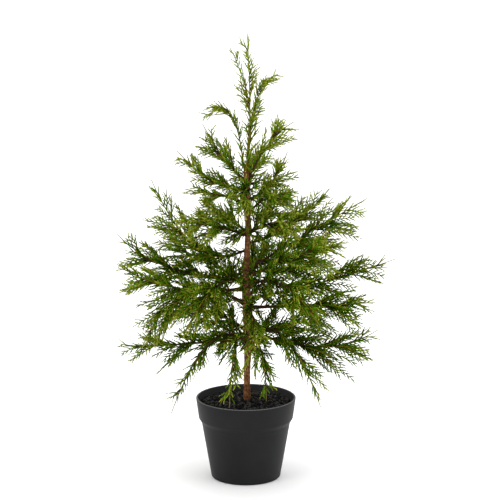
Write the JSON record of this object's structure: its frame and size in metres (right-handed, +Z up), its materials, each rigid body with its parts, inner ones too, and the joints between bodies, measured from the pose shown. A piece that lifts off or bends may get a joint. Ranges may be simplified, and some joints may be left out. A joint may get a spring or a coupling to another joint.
{
  "type": "artificial potted cedar",
  "caption": "Tabletop artificial cedar with feathery green sprays on a bark-wrapped trunk, set in crumbs in a plain charcoal nursery pot.",
  "frame": {"origin": "middle of the pot's flat underside, on the surface it stands on", "axes": "+Z up along the trunk; +X to the right of a viewer who faces the plant's front, which looks along -Y"},
  "size_m": [0.3716, 0.3229, 0.6093],
  "materials": {
    "pot": "matte charcoal moulded plastic",
    "filler": "dull near-black crumbs glued over a weighted core",
    "bark": "rough red-brown bark wrap over wire",
    "foliage": "moulded green sprays with a soft sheen"
  },
  "bodies": {
    "root": {"pot": "pot", "filler": "filler", "trunk": "bark", "foliage_leader_side": "foliage", "foliage_leader_left": "foliage", "foliage_leader_right": "foliage", "foliage_high_right_front": "foliage", "foliage_upper_left": "foliage", "bough_wide_right": "bark", "foliage_wide_right": "foliage", "foliage_upper_right_low": "foliage", "bough_middle_back_right": "bark", "foliage_middle_back_right": "foliage", "foliage_upper_back": "foliage", "foliage_hanging_right": "foliage", "bough_middle_right_low": "bark", "foliage_middle_right_low": "foliage", "bough_middle_right": "bark", "foliage_middle_right": "foliage", "foliage_high_right": "foliage", "foliage_low_back": "foliage", "bough_low_left_front": "bark", "foliage_low_left_front": "foliage", "bough_middle_left_low": "bark", "foliage_middle_left_low": "foliage", "bough_wide_left_front": "bark", "foliage_wide_left_front": "foliage", "foliage_low_back_right": "foliage", "foliage_front_centre": "foliage", "foliage_upper_right_side": "foliage", "bough_front_left": "bark", "foliage_front_left": "foliage", "bough_middle_back_left": "bark", "foliage_middle_back_left": "foliage", "bough_front_right": "bark", "foliage_front_right": "foliage", "foliage_high_back_left": "foliage", "bough_middle_back": "bark", "foliage_middle_back": "foliage", "bough_low_right": "bark", "foliage_low_right": "foliage", "foliage_upper_front": "foliage", "foliage_high_left": "foliage", "bough_low_back_left": "bark", "foliage_low_back_left": "foliage", "foliage_high_back_right": "foliage", "bough_wide_left": "bark", "foliage_wide_left": "foliage", "foliage_upper_right": "foliage", "foliage_upper_left_low": "foliage", "bough_low_right_front": "bark", "foliage_low_right_front": "foliage", "foliage_hanging_left": "foliage", "bough_wide_right_front": "bark", "foliage_wide_right_front": "foliage", "bough_low_left": "bark", "foliage_low_left": "foliage", "foliage_high_left_front": "foliage", "foliage_upper_left_side": "foliage", "foliage_leader": "foliage"}
  },
  "joints": []
}
